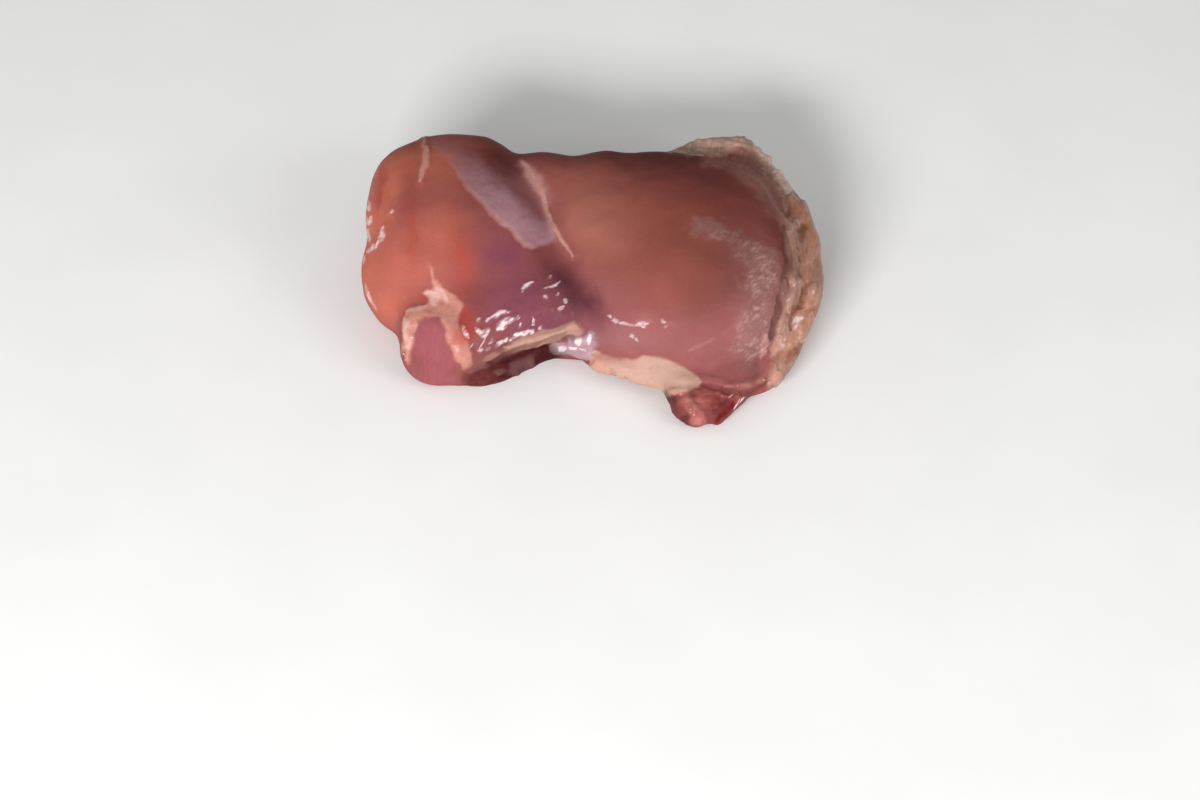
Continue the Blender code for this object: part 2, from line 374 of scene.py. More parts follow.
# The columns between which the painted shadow in the fold under the lip reaches its full strength.
UNDER_LIP_SHADOW_COLUMNS = (475, 520)
UNDER_GROOVE = [(486, 364), (504, 360), (522, 354), (538, 351), (552, 347)]
UNDER_LIP_GREY = [(508, 364), (520, 358), (532, 357), (536, 366), (526, 378), (512, 382)]
UNDER_LIP_LUMPS = [((532, 363), (4.5, 6)), ((520, 376), (4, 3)), ((500, 372), (7, 4))]
# Spots where the painted shadow under the lip is fullest.
UNDER_LIP_SHADOW_SPOTS = [((548, 356), (14, 9), -10), ((526, 374), (5, 5), 0)]
UNDER_LIP_PINK = [(466, 372), (478, 368), (493, 361), (504, 357)]

# The tendon's end, each cord with its width in pixels, and the fat along the front edge.
TENDON = [
    (553, 350), (556, 344), (563, 342), (571, 342), (570, 337), (577, 335), (584, 338), (587, 333),
    (591, 332), (596, 337), (597, 345), (592, 350), (590, 356), (583, 357), (573, 355), (562, 354),
]
TENDON_CORDS = [
    ([(555, 349), (563, 348), (572, 349), (581, 352), (588, 354)], 6.5),
    ([(571, 341), (577, 340), (584, 343), (590, 348)], 4.5),
    ([(582, 343), (588, 339), (591, 334)], 4.5),
]
TENDON_GLINTS = [
    [(590, 335), (589, 341)], [(570, 345), (577, 348)], [(581, 347), (586, 351)],
    [(577, 340), (581, 339)], [(557, 347), (565, 346)],
]
FRONT_FAT = [
    (588, 345), (595, 349), (603, 354), (612, 357), (621, 359), (632, 360), (638, 359), (643, 356),
    (655, 357), (667, 360), (679, 365), (690, 371), (698, 377), (701, 382), (698, 387), (687, 391),
    (676, 394), (668, 397), (652, 392), (640, 388), (628, 384), (616, 380), (604, 377), (594, 374),
    (589, 366), (589, 356),
]
FAT_LOBES = [
    ((599, 363), (9, 8), 10), ((612, 365), (8, 7), 10), ((623, 368), (7, 8), 0),
    ((641, 370), (14, 9), 8), ((662, 373), (15, 11), 12), ((683, 380), (13, 7), 18),
]
FAT_NOTCHES = [
    [(587, 363), (595, 360)], [(615, 382), (613, 370)], [(627, 386), (626, 377)],
    [(642, 390), (641, 385)],
]
FRONT_FAT_END = [
    (652, 364), (668, 362), (684, 367), (698, 376), (701, 382), (694, 389), (680, 391), (664, 391),
    (654, 384),
]
FRONT_FAT_GAP = (605, 358)

# The dried patch at the right end of the mound.
FROST = [
    (738, 238), (754, 242), (768, 248), (777, 264), (782, 284), (776, 318), (770, 345), (754, 362),
    (738, 358), (730, 344), (745, 330), (738, 312), (752, 300), (742, 282), (750, 268), (736, 254),
]
FROST_TAIL = [(692, 227), (709, 227), (724, 232), (742, 243)]

# The fat rim, its folds and ridges each with its width in pixels.
RIM = [
    (652, 146), (690, 132), (724, 128), (745, 126), (762, 132), (778, 154), (792, 178), (808, 192),
    (820, 225), (828, 245), (828, 300), (820, 330), (812, 352), (800, 372), (786, 390), (764, 396),
    (768, 380), (774, 358), (776, 332), (780, 316), (785, 298), (789, 280), (790, 262), (787, 246),
    (782, 230), (775, 211), (764, 192), (752, 178), (736, 166), (722, 160), (700, 155), (680, 156),
]
# The middle of the fat rim in millimetres, from behind round the wide end to the front.
RIM_LINE = [
    (4, 35, 15), (15, 36, 15), (26, 35, 15), (36, 33, 16), (43, 24, 16), (49, 14, 15), (51, 3, 13),
    (50, -7, 11), (46, -17, 9), (39, -25, 7), (32, -30, 5),
]
RIM_CREST = [
    (690, 147), (708, 145), (726, 143), (745, 140), (756, 146), (768, 162), (778, 175), (788, 190),
]
RIM_PEAKS = [((748, 138), (9, 5)), ((766, 160), (5, 5)), ((779, 176), (5, 5))]
RIM_PALE = [
    [(695, 149), (711, 154), (726, 154)], [(757, 150), (764, 163), (774, 176), (780, 187)],
    [(783, 196), (787, 203), (786, 210)],
]
RIM_SKIN = [
    (704, 151), (714, 146), (728, 141), (745, 137), (757, 141), (767, 158), (778, 178), (788, 196),
    (790, 218), (783, 232), (772, 217), (759, 198), (744, 182), (726, 170), (702, 165),
]
# Paler patches on the rim, partly painted soft highlights.
RIM_BLUSH_AND_SHEEN = [
    ((790, 288), (7, 20), 5), ((783, 330), (7, 18), 12), ((809, 258), (8, 20), 0),
    ((790, 222), (6, 12), 0), ((790, 200), (5, 10), -30),
]
RIM_YELLOW = [
    (786, 186), (800, 200), (815, 228), (820, 252), (814, 276), (818, 292), (816, 318), (806, 342),
    (790, 366), (782, 360), (792, 335), (799, 305), (799, 280), (797, 250), (790, 215),
]
RIM_FOLDS = [
    ([(803, 205), (811, 222), (812, 242), (808, 262)], 11), ([(790, 196), (796, 210), (797, 226)], 7),
    ([(720, 150), (736, 152), (750, 160), (762, 174)], 6),
]
RIM_RIDGES = [
    ([(789, 224), (793, 225), (796, 220)], 7), ([(796, 278), (796, 290), (791, 300), (789, 312)], 8),
    ([(813, 283), (812, 298), (806, 308)], 8), ([(804, 308), (799, 318), (797, 331), (790, 342)], 7),
    ([(786, 318), (783, 334), (778, 350)], 7), ([(812, 312), (805, 330), (797, 346)], 6),
    ([(766, 334), (765, 346), (762, 358)], 5), ([(777, 334), (776, 346), (772, 358)], 5),
    ([(786, 280), (787, 296), (785, 308)], 6),
]
RIM_CREASES = [
    [(783, 190), (787, 206), (787, 216)], [(797, 248), (795, 263), (799, 276)],
    [(801, 306), (795, 318), (790, 330)], [(801, 343), (794, 352), (786, 362)],
    [(806, 284), (804, 296), (801, 306)], [(776, 171), (790, 186), (800, 196)],
    [(800, 224), (801, 240)],
]
RIM_GROOVE = [
    (783, 226), (787, 240), (790, 256), (788, 272), (785, 290), (779, 308), (775, 326), (772, 338),
]

# The mound's edge over the tucked tip, and the tip.
HEM = [(704, 380), (716, 382), (729, 387), (744, 387), (757, 383), (767, 375), (772, 367)]
HEM_LUMPS = [((744, 384), (8, 4), -5), ((758, 380), (7, 4), -30), ((730, 387), (6, 3), 10)]
HEM_GROOVE = [(702, 384), (714, 386), (726, 391), (744, 393), (758, 389), (768, 381)]
HEM_SKIN = [(772, 376), (776, 370), (782, 370), (782, 378), (779, 385), (775, 388), (772, 383)]
PALE_SCAR = [(686, 352), (696, 348), (706, 343), (718, 336)]
TAG = [
    (666, 386), (682, 388), (698, 386), (706, 384), (722, 387), (735, 391), (750, 389), (760, 388),
    (749, 397), (741, 406), (731, 415), (719, 424), (707, 432), (698, 438), (687, 436), (674, 424),
    (666, 407),
]
TAG_LOBES = [
    ((676, 391), (11, 5), 10), ((690, 407), (11, 6), 35), ((698, 421), (6, 10), -10),
    ((707, 400), (11, 9), -20), ((722, 393), (9, 6), -10), ((677, 410), (6, 9), -20),
    ((738, 396), (8, 5), -25),
]
TAG_SHADED_EDGE = [(667, 394), (671, 408), (678, 421), (688, 432), (700, 437)]
TAG_SHADE = [
    ((722, 395), (11, 6), -20), ((717, 408), (9, 8), 0), ((730, 402), (7, 5), -40),
    ((674, 410), (5, 16), -20), ((684, 428), (8, 7), 30), ((706, 430), (7, 5), -30),
]
TAG_RED = (719, 401)
# Paler patches on the tip's lobes: the first a painted highlight, the second pale spots.
TAG_PALE = [((690, 400), (8, 5), 20), ((697, 420), (5, 5), 0)]
TAG_BLOOD = [
    (703, 431), (712, 424), (720, 415), (728, 405), (734, 398), (735, 405), (729, 413), (720, 422),
    (710, 431),
]

# The wet valley between the mounds.
WET_VALLEY = [
    (470, 318), (492, 298), (520, 280), (552, 273), (570, 290), (572, 306), (560, 320), (540, 332),
    (504, 350), (472, 358),
]
# The wet ridges in it, which catch the light and carry painted glints, each with its width in pixels,
# then those of the right mound and of the raw edge.
VALLEY_STREAKS = [
    ([(521, 291), (527, 286), (534, 282)], 3.4), ([(547, 279), (552, 275)], 3.0),
    ([(545, 287), (560, 282)], 2.4), ([(546, 298), (549, 296)], 3.0), ([(556, 295), (559, 295)], 2.4),
    ([(564, 299), (567, 304)], 3.4), ([(559, 310), (563, 307)], 2.6),
    ([(487, 320), (494, 317), (500, 313), (509, 310)], 3.8),
    ([(497, 330), (502, 325), (509, 320), (517, 317)], 5.4), ([(501, 327), (507, 323)], 5.0),
    ([(477, 328), (482, 334), (489, 329)], 4.4), ([(494, 348), (499, 342), (506, 338)], 4.0),
    ([(508, 342), (516, 336), (526, 332), (535, 329)], 4.6), ([(540, 329), (543, 326)], 3.2),
    ([(463, 328), (465, 333), (468, 338)], 4.0), ([(491, 337), (488, 343)], 2.6),
    ([(479, 351), (483, 349)], 3.0), ([(478, 322), (480, 320)], 2.6), ([(487, 351), (490, 347)], 2.4),
]
MOUND_GLOSS = (632, 328)
MOUND_STREAKS = [
    ([(609, 315), (613, 319)], 2.6), ([(613, 321), (618, 322)], 3.8),
    ([(618, 323), (628, 324), (638, 324)], 2.4), ([(637, 323), (643, 323), (649, 322)], 3.8),
    ([(643, 327), (645, 325)], 3.0), ([(630, 336), (634, 336)], 3.8), ([(634, 340), (637, 341)], 3.0),
    ([(660, 320), (663, 322)], 2.4), ([(664, 326), (666, 328)], 2.4),
]
RAW_STREAKS = [
    ([(370, 201), (369, 210)], 2.6), ([(370, 216), (369, 226)], 4.4),
    ([(367, 230), (369, 238), (372, 240)], 3.0), ([(384, 226), (383, 234), (378, 243)], 3.8),
    ([(379, 242), (374, 248), (369, 253)], 3.8), ([(391, 211), (392, 214)], 3.4),
    ([(366, 256), (364, 264)], 2.4), ([(369, 292), (372, 302)], 3.0),
]
# Each group of wet ridges: its height in millimetres, how much painted glint it has, and how even it is.
STREAKS = [
    (VALLEY_STREAKS, 0.2, 0.7, 0.2), (MOUND_STREAKS, 0.1, 0.5, 0.6), (RAW_STREAKS, 0.2, 0.7, 0.3),
]

# The paths that threads and grains of fat grow along.
THREADS = [
    [(477, 352), (484, 341), (489, 331)], [(470, 348), (475, 341)],
    [(737, 406), (742, 399), (747, 393)], [(733, 410), (738, 402), (742, 395)],
    [(728, 398), (736, 392)],
]
GRAIN_PATHS = [
    [(407, 360), (404, 350), (403, 338)], [(736, 387), (748, 386), (758, 382), (766, 376)],
    [(684, 404), (692, 411), (698, 420)],
]

# Where the meat's faces are split.
DETAIL_AREAS = [
    CHEVRON, CUT_FACE, LIP, UNDER_LIP, TENDON, FRONT_FAT, FROST, RIM, TAG, WET_VALLEY, RAW_EDGE,
]
DETAIL_LINES = [SEAM, LEFT_LINE, HEM, VEIL_EDGE] + [path for path, _ in MOUND_STREAKS]

# How wet each tissue is, from 0 to 1, and the tissues that are dry where they lie.
WETNESS = [
    ("painted_glint", 0.35), ("tendon", 0.6), ("lip", 0.3), ("salmon", 0.25), ("fat", 0.5), ("tag", 0.4),
    ("speck_and_sparkle", 0.35), ("blood", 0.9),
]
DRY_TISSUES = ["lip_shadow", "painted_shade", "peach", "rim_skin"]


# Carving and painting


def paint_mounds(meat):
    """The broad, soft colours of the two muscle bellies and the valley between them, with some painted
    shade and light.
    """
    for tissue, spots in BROAD_COLOURS.items():
        for strength, centre, radii, degrees in spots:
            meat.wash(tissue, strength * meat.spot(centre, radii, degrees))


def paint_hidden_sides(meat):
    """Silver skin, fat streaks and a redder foot on the sides that the photograph doesn't show."""
    hidden = 1 - meat.seen
    skin = swells(turned(meat.places, 25), (16, 7, 7), seed=111.0, octaves=3)
    meat.paint("silver", 0.55 * hidden * soft_step(skin, 0.0, 0.5))
    streaks = creases(turned(meat.places, -15), (26, 5, 4), seed=121.0, octaves=2)
    broken = soft_step(swells(meat.places, (9, 6, 6), seed=131.0, octaves=2), -0.1, 0.35)
    line = hidden * broken * soft_step(-streaks, -0.1, 0.25)
    meat.carve(-0.15 * line)
    meat.paint("cream", 0.4 * line)
    meat.wash("plum", 0.55 * soft_step(7 * MM - meat.places[:, 2], -4 * MM, 5 * MM) * hidden)
    meat.wash("umber_and_shade", 0.4 * hidden * soft_step(meat.shift[:, 1], -0.1, 0.5))


def carve_seams(meat):
    """The line of fat and thin skin between the two mounds, the line over the left one, and a painted
    highlight along the left edge.
    """
    meat.wash("rose", 0.5 * meat.stroke(SEAM, 16, wavy=4.0, taper=0.6))
    meat.paint("veil", 0.3 * meat.stroke(SEAM[:6], 13, wavy=2.0, taper=0.6))
    meat.carve(0.3 * meat.stroke(SEAM, 6, wavy=1.2))
    meat.paint("cream", 0.45 * meat.stroke(SEAM[:5], 9, wavy=1.5, taper=0.9))
    meat.paint("cream", 0.6 * meat.stroke(SEAM, 4, wavy=1.5, taper=0.5))
    meat.carve(-0.35 * meat.stroke(SEAM_TAIL, 10, wavy=1.0, taper=0.95))
    meat.carve(0.3 * meat.stroke(LEFT_LINE, 6, wavy=1.0))
    meat.paint("cream", 0.65 * meat.stroke(LEFT_LINE, 4, wavy=2.0, taper=0.5))
    meat.carve(-0.2 * meat.stroke(LEFT_LINE_TAIL, 9, wavy=1.0, taper=0.9))
    # A painted highlight along the lower left edge.
    meat.paint("cream", 0.6 * meat.stroke(LEFT_RIM_LIGHT, 3, wavy=1.0, taper=0.8))


def lay_veil(meat):
    """The thin silvery skin over the slope between the two mounds, clearest at its lower edge."""
    lower = 0.25 + 0.75 * soft_step(meat.pixels[:, 1], *VEIL_ROWS)
    veil = meat.area(VEIL, 3, wavy=2.5)
    near_edge = meat.stroke(VEIL_EDGE, 36, wavy=5.0)
    cloudy = 1 + 0.25 * swells(turned(meat.places, -45), (9, 2.5, 3), seed=37.0, octaves=2)
    meat.carve(0.15 * lower * veil)
    meat.paint("veil", lower * veil * np.clip((0.2 + 0.75 * near_edge) * cloudy, 0.0, 1.0))
    meat.paint("cream", 0.25 * lower ** 2 * meat.stroke(VEIL_EDGE, 4, wavy=1.5, taper=0.4))
    meat.paint("veil", 0.25 * meat.spot(VEIL_THICK, (14, 20), degrees=-30))


def carve_cut_end(meat):
    """The cut across the muscle, the ragged fat round it and the red meat beside it."""
    face = meat.area(CUT_FACE, 4, wavy=2)
    meat.carve(-CUT_FACE_FLATNESS * face * np.maximum(meat.above_plane(face), 0.0))
    meat.paint("cut_face", face)
    # Painted shade over the foot of the cut face and in its lower right corner.
    meat.wash("crease_shade", 0.35 * face * meat.spot(CUT_FACE_DARK, (12, 16), degrees=-30))
    corner_shade = meat.spot(CUT_FACE_SHADED_CORNER, (10, 8), degrees=30)
    meat.wash("crease_shade", 0.6 * meat.area(CUT_FACE, 9, wavy=2) * corner_shade)
    meat.wash("ember", 0.9 * meat.area(CUT_END_RED, 6, wavy=4))
    fat = meat.area(CHEVRON, 2, wavy=2.5)
    lumps = swells(meat.places, (2.6, 2.6, 2.6), seed=81.0, octaves=3)
    meat.carve(fat * (0.25 + 0.2 * lumps))
    orange = meat.spot(CUT_END_ORANGE, (8, 12), degrees=-15)
    meat.paint("salmon", fat * (0.9 - 0.6 * orange))
    # Paler fat along the arms' edges, partly painted highlight, with painted glints.
    for path in CHEVRON_PALE_AND_GLINT:
        pale = meat.stroke(path, 7, wavy=3.0, taper=0.3)
        meat.carve(0.15 * pale)
        meat.paint("cream", 0.5 * pale * fat)
        meat.paint("painted_glint", 0.15 * fat * meat.stroke(path, 5, wavy=4.0, taper=0.3))


def carve_lip(meat):
    """The thin rolled edge of skin over the front fold, with a painted highlight along its top."""
    edge = meat.area(LIP, 3, wavy=1.0) * (0.35 + 0.65 * soft_step(meat.pixels[:, 0], *LIP_RISE))
    meat.carve(0.8 * edge * meat.roll(LIP_LINE, 10))
    meat.paint("lip", 0.9 * edge)
    meat.paint("cream", 0.65 * edge * soft_step(meat.pixels[:, 0], *LIP_PALING))
    for path in LIP_RIDGES:
        ridge = meat.stroke(path, 4, wavy=1.5, taper=0.9)
        meat.carve(0.12 * ridge)
        meat.wash("cream", 0.25 * ridge)
    # Creases in the lip, with painted shade in them.
    for path in LIP_CREASES:
        meat.carve(-0.3 * meat.stroke(path, 5, wavy=1.5, taper=0.7))
        meat.paint("painted_shade", 0.4 * meat.stroke(path, 4.5, wavy=1.5, taper=0.7))
    # A painted highlight along the top edge of the lip.
    meat.paint("peach", 0.6 * meat.stroke(LIP_CREST_HIGHLIGHT, 4.5, wavy=2.0, taper=0.7))
    # A small hole by the tendon, with painted shade in it.
    hole = meat.stroke(LIP_HOLE, 5, wavy=1.5)
    meat.carve(-0.3 * hole)
    meat.paint("painted_shade", 0.45 * hole)


def carve_fold_under_lip(meat):
    """The fold under the lip, painted with the shadow that falls in it, with a grey patch of skin and a
    few lumps of fat in it.
    """
    under = meat.area(UNDER_LIP, 5, wavy=3)
    ragged = swells(turned(meat.places, 20), (6, 2.2, 2.6), seed=95.0, octaves=2)
    shadow_strength = soft_step(meat.pixels[:, 0], *UNDER_LIP_SHADOW_COLUMNS)
    # Painted shadow over the whole fold, fuller towards the right.
    meat.paint("lip_shadow", under * (0.7 + 0.25 * shadow_strength))
    meat.carve(under * (0.3 * ragged - 0.3))
    # Painted shadow, fuller in a few spots.
    meat.paint_spots("painted_shade", 0.9, UNDER_LIP_SHADOW_SPOTS)
    meat.paint("veil", 0.22 * meat.area(UNDER_LIP_GREY, 5, wavy=6))
    meat.paint("silver", 0.25 * meat.stroke(UNDER_LIP_PINK, 5, wavy=2.0, taper=0.5))
    for centre, radii in UNDER_LIP_LUMPS:
        lump = meat.spot(centre, radii, wavy=2.0)
        meat.carve(0.5 * lump)
        meat.paint("lip", 0.6 * soft_step(lump, 0.3, 0.8))
    # The groove in the fold, with painted shade in it.
    groove = meat.stroke(UNDER_GROOVE, 6, wavy=0.8, taper=0.9)
    meat.carve(-0.6 * groove)
    meat.paint("painted_shade", 0.5 * groove)


def carve_tendon(meat):
    """The white end of the tendon, in smooth wet rolls."""
    tendon = meat.area(TENDON, 3, wavy=1.5)
    meat.carve(tendon * (0.35 + 0.3 * swells(meat.places, (1.6, 1.6, 1.6), seed=33.0, octaves=2)))
    meat.paint("tendon", 0.7 * tendon)
    for path, width in TENDON_CORDS:
        cord = meat.roll(path, width, wavy=2.0)
        meat.carve(0.25 * cord)
        meat.paint("tendon", 0.95 * soft_step(cord, 0.0, 0.8))
    # Painted glints along the rolls.
    for path in TENDON_GLINTS:
        meat.carve(0.12 * meat.stroke(path, 4, wavy=1.5))
        meat.paint("painted_glint", 0.6 * meat.stroke(path, 3.2, wavy=2.0, taper=0.4))


def carve_front_fat(meat):
    """The strip of pale fat along the front edge, in low lobes with a scalloped lower edge."""
    fat = meat.area(FRONT_FAT, 2, wavy=1.2)
    hollow = np.ones(len(meat.places))
    for centre, radii, degrees in FAT_LOBES:
        hollow *= 1 - meat.spot(centre, radii, degrees, wavy=1.5)
    meat.carve(fat * (0.9 - 0.8 * hollow))
    meat.paint("salmon", 0.9 * fat)
    meat.paint("peach", fat * (1 - 0.55 * meat.spot(FRONT_FAT_GAP, (20, 12), degrees=10)))
    # Notches in the lower edge, with painted shade in them.
    for path in FAT_NOTCHES:
        meat.carve(-0.6 * meat.stroke(path, 4, wavy=1.5, taper=0.5))
        meat.paint("crease_shade", 0.35 * meat.stroke(path, 3.5, wavy=1.5, taper=0.5))


def rim_area(meat, gap, along):
    """1 on the fat rim: its outline in the photograph, and a band along its middle behind."""
    uneven = 1 + 0.3 * meat.shift[:, 0]
    reach = (10 + 11 * soft_step(along, 0.15, 0.4)) * MM * uneven
    front = meat.area(RIM, 3, wavy=3) * soft_step(reach - gap, -2 * MM, 1 * MM)
    width = 9 * MM * soft_step(along, -0.05, 0.35) * uneven
    behind = soft_step(width - gap, -1.5 * MM, 1.5 * MM) * (1 - meat.seen)
    return np.maximum(front, behind)


def carve_rim(meat):
    """The wrinkled fat rim, with folds and ridges that run along it, painted shade in its folds and
    painted glints on its ridges.
    """
    gap, along = gap_to_path(meat.places, np.array(RIM_LINE) * MM)
    rim = rim_area(meat, gap, along)
    flow = np.stack((along * RIM_LENGTH, gap, meat.places[:, 2] * 0.7), axis=1)
    folds = swells(flow + meat.shift[:, :1] * MM, (9, 3.0, 4.0), seed=3.0, octaves=2)
    fine = creases(flow + meat.shift * MM * 0.6 @ np.eye(2, 3), (2.6, 1.2, 1.6), seed=13.0, octaves=2)
    patchy = soft_step(swells(meat.places, (5, 5, 5), seed=15.0, octaves=2), -0.2, 0.4)
    skin = meat.area(RIM_SKIN, 5, wavy=4)
    meat.carve(rim * (1 - 0.9 * skin) * (0.22 * folds + 0.06 * patchy * fine))
    meat.paint("fat", rim)
    meat.paint("rim_skin", 0.9 * skin)
    meat.paint("yolk", 0.9 * meat.area(RIM_YELLOW, 8, wavy=5))
    # Paler patches on the rim, partly painted soft highlights.
    meat.paint_spots("cream", 0.4, RIM_BLUSH_AND_SHEEN)
    for path, width in RIM_FOLDS:
        meat.carve(0.45 * meat.stroke(path, 1.2 * width, wavy=2.5, taper=0.6))
    bare = rim * (1 - 0.8 * skin)
    # Painted shade in the hollows of the folds, and paler fat on their tops.
    meat.paint("crease_shade", 0.25 * bare * soft_step(-folds, 0.05, 0.45))
    meat.paint("cream", 0.25 * bare * soft_step(folds, 0.05, 0.45))
    glints = soft_step(swells(flow, (3.0, 0.9, 1.2), seed=43.0, octaves=2), 0.3, 0.7)
    # Pale ridges, with painted glints on them.
    for path, width in RIM_RIDGES:
        ridge = meat.stroke(path, 1.3 * width, wavy=3.0, taper=0.8)
        meat.carve(0.35 * ridge)
        meat.paint("cream", 0.45 * ridge)
        meat.paint("painted_glint", 0.5 * glints * ridge)


def carve_rim_lines(meat):
    """The pale folds of the rim, and its creases and groove with painted shade in them."""
    for path in RIM_PALE:
        meat.carve(0.25 * meat.stroke(path, 5, wavy=2.0, taper=0.5))
        meat.paint("cream", 0.5 * meat.stroke(path, 5, wavy=3.0, taper=0.5))
    # Creases with painted shade in them.
    for path in RIM_CREASES:
        meat.carve(-0.3 * meat.stroke(path, 5, wavy=2.0, taper=0.5))
        meat.paint("crease_shade", 0.65 * meat.stroke(path, 6, wavy=3.0, taper=0.6))
    # The groove of the rim, with painted shade in it.
    groove = meat.stroke(RIM_GROOVE, 7, wavy=2.0, taper=0.5)
    meat.carve(-0.4 * groove)
    meat.paint("painted_shade", 0.45 * groove)


def carve_rim_crest(meat):
    """The ragged top edge of the rim, dried on the side that the photograph shows."""
    crest = meat.stroke(RIM_CREST, 6, wavy=2.0)
    meat.carve(crest * (0.2 + 0.7 * swells(meat.places, (2.4, 2.4, 2.4), seed=17.0, octaves=2)))
    meat.paint("tendon", 0.2 * meat.stroke(RIM_CREST[:5], 6, wavy=2.0))
    front = soft_step(meat.facing, -0.15, 0.1)
    meat.paint("dry_edge", 0.45 * front * meat.stroke(RIM_CREST, 11, wavy=3.0))
    for centre, radii in RIM_PEAKS:
        meat.carve(0.9 * meat.spot(centre, radii, wavy=2.0))
    outer = front * meat.stroke(RIM_CREST[4:], 5, wavy=1.5)
    meat.paint("cream", 0.25 * crest * soft_step(meat.shift[:, 0], -0.2, 0.2))
    # A pale line along the outer crest, with a painted highlight over it.
    meat.paint("cream", 0.8 * outer)
    meat.paint("painted_glint", 0.25 * outer)


def carve_hem(meat):
    """The soft edge of the mound over the tucked tip, with beads of fat and a flap of skin."""
    hem = meat.roll(HEM, 6)
    meat.carve(0.25 * hem)
    meat.paint("salmon", 0.12 * soft_step(hem, 0.2, 1.0))
    # Lumps of fat with paler tops, partly painted highlight.
    for centre, radii, degrees in HEM_LUMPS:
        lump = meat.spot(centre, radii, degrees, wavy=2.0)
        meat.carve(0.45 * lump)
        meat.paint("cream", 0.25 * soft_step(lump, 0.4, 1.0))
    # The groove under the hem, with painted shade in it.
    groove = meat.stroke(HEM_GROOVE, 5, wavy=1.5, taper=0.6)
    meat.carve(-0.4 * groove)
    meat.paint("painted_shade", 0.4 * groove)
    skin = meat.area(HEM_SKIN, 2.5, wavy=2)
    meat.carve(0.4 * skin)
    meat.paint("cream", 0.5 * skin)


def carve_frost(meat):
    """The dried, finely wrinkled skin over the right end of the mound, its pale specks partly painted
    sparkle.
    """
    tail = 0.6 * meat.stroke(FROST_TAIL, 14, wavy=9, taper=0.5)
    frost = np.maximum(meat.area(FROST, 14, wavy=10), tail)
    across = turned(meat.places, -50)
    wrinkles = creases(across, (3.0, 0.9, 1.4), seed=11.0, octaves=2)
    fine = creases(across, (1.7, 0.6, 0.8), seed=19.0, octaves=2) - 0.3
    clusters = soft_step(swells(meat.places, (4, 4, 4), seed=15.0, octaves=2), -0.4, 0.4)
    meat.carve(frost * 0.1 * (wrinkles - 0.3))
    meat.paint("frost", frost)
    net = np.maximum(soft_step(wrinkles, 0.2, 1.2), fine)
    # Pale specks of dried skin, partly painted sparkle.
    meat.paint("speck_and_sparkle", 0.75 * frost ** 1.5 * (0.25 + 0.75 * clusters) * np.clip(net, 0.0, 1.0))
    meat.paint("cream", 0.14 * meat.stroke(PALE_SCAR, 3, wavy=1.5, taper=0.9))
    meat.carve(0.05 * meat.stroke(PALE_SCAR, 4, wavy=1.5, taper=0.9))


def carve_tag(meat):
    """The tucked tip of loose meat, lumpy and bloody along its right edge, with painted shade between
    its lobes and along its edges.
    """
    tag = meat.area(TAG, 4, wavy=2)
    lobes = np.zeros(len(meat.places))
    for centre, radii, degrees in TAG_LOBES:
        lobes = np.maximum(lobes, meat.spot(centre, radii, degrees, wavy=4.0))
    meat.carve(tag * (0.7 * lobes - 0.2 + 0.25 * swells(meat.places, (2, 2, 2), seed=21.0, octaves=2)))
    meat.paint("tag", tag)
    pale = tag * soft_step(swells(meat.places, (1.5, 1.5, 1.5), seed=23.0, octaves=2), 0.0, 0.5)
    meat.paint("salmon", 0.35 * pale * soft_step(lobes, 0.4, 0.9))
    # Painted shade between the lobes, in patches and along the lower left edge.
    meat.paint("painted_shade", 0.5 * tag * soft_step(0.45 - lobes, 0.0, 0.4))
    for centre, radii, degrees in TAG_SHADE:
        meat.wash("painted_shade", 0.45 * meat.spot(centre, radii, degrees))
    meat.wash("painted_shade", 0.5 * meat.stroke(TAG_SHADED_EDGE, 16, wavy=3.0, taper=0.6))
    meat.wash("blood", 0.35 * meat.spot(TAG_RED, (13, 11), degrees=-20))
    # Paler patches on the lobes, the upper one a painted highlight.
    meat.paint_spots("salmon", 0.5, TAG_PALE)
    meat.paint("blood", meat.area(TAG_BLOOD, 2, wavy=2))


def lay_streaks(meat):
    """Wet ridges of loose tissue that catch the light, with painted glints along them, broken into fine
    strands.
    """
    strands = swells(turned(meat.places, -35), (2.2, 0.45, 0.7), seed=67.0, octaves=2)
    strands = soft_step(strands, -0.35, 0.25)
    front = soft_step(meat.facing, 0.05, 0.25)
    for streaks, height, painted_glint, evenness in STREAKS:
        wetness = front * (evenness + (1 - evenness) * strands)
        for path, width in streaks:
            strength = wetness * min(1.0, 0.4 + width / 8)
            meat.carve(height * strength * meat.roll(path, width, wavy=1.8))
            # Painted glints along the ridges.
            meat.paint("painted_glint", painted_glint * strength * meat.stroke(path, 0.9 * width, wavy=2.8, taper=0.7))


def carve_fibres(meat):
    """Fine ridges along the muscle, and stretched wet ridges across the valley."""
    valley = meat.area(WET_VALLEY, 12, wavy=4)
    across = turned(meat.places, -60)
    meat.carve(valley * 0.15 * swells(across, (4.5, 1.2, 2), seed=51.0, octaves=2))
    left = meat.area(RAW_EDGE, 12, wavy=4)
    meat.carve(left * 0.12 * swells(meat.places, (1.4, 6, 4), seed=61.0, octaves=2))
    raw = np.maximum(0.5 * left, meat.masks["cut_face"])
    meat.paint("fibre", np.maximum(0.2 * meat.masks["coral"], raw))
    meat.carve(0.2 * swells(meat.places, (7, 7, 7), seed=71.0, octaves=2))


def wet_parts(meat):
    """Where a film of water lies on the meat, for its gloss."""
    wet = 0.5 * meat.area(WET_VALLEY, 10, wavy=4)
    for name, amount in WETNESS:
        wet = np.maximum(wet, amount * meat.masks[name])
    wet = np.maximum(wet, 0.3 * meat.area(RAW_EDGE, 8, wavy=4))
    wet = np.maximum(wet, 0.25 * meat.spot(MOUND_GLOSS, (26, 9)))
    for name in DRY_TISSUES:
        wet *= 1 - 0.8 * meat.masks[name]
    meat.paint("wet", wet)


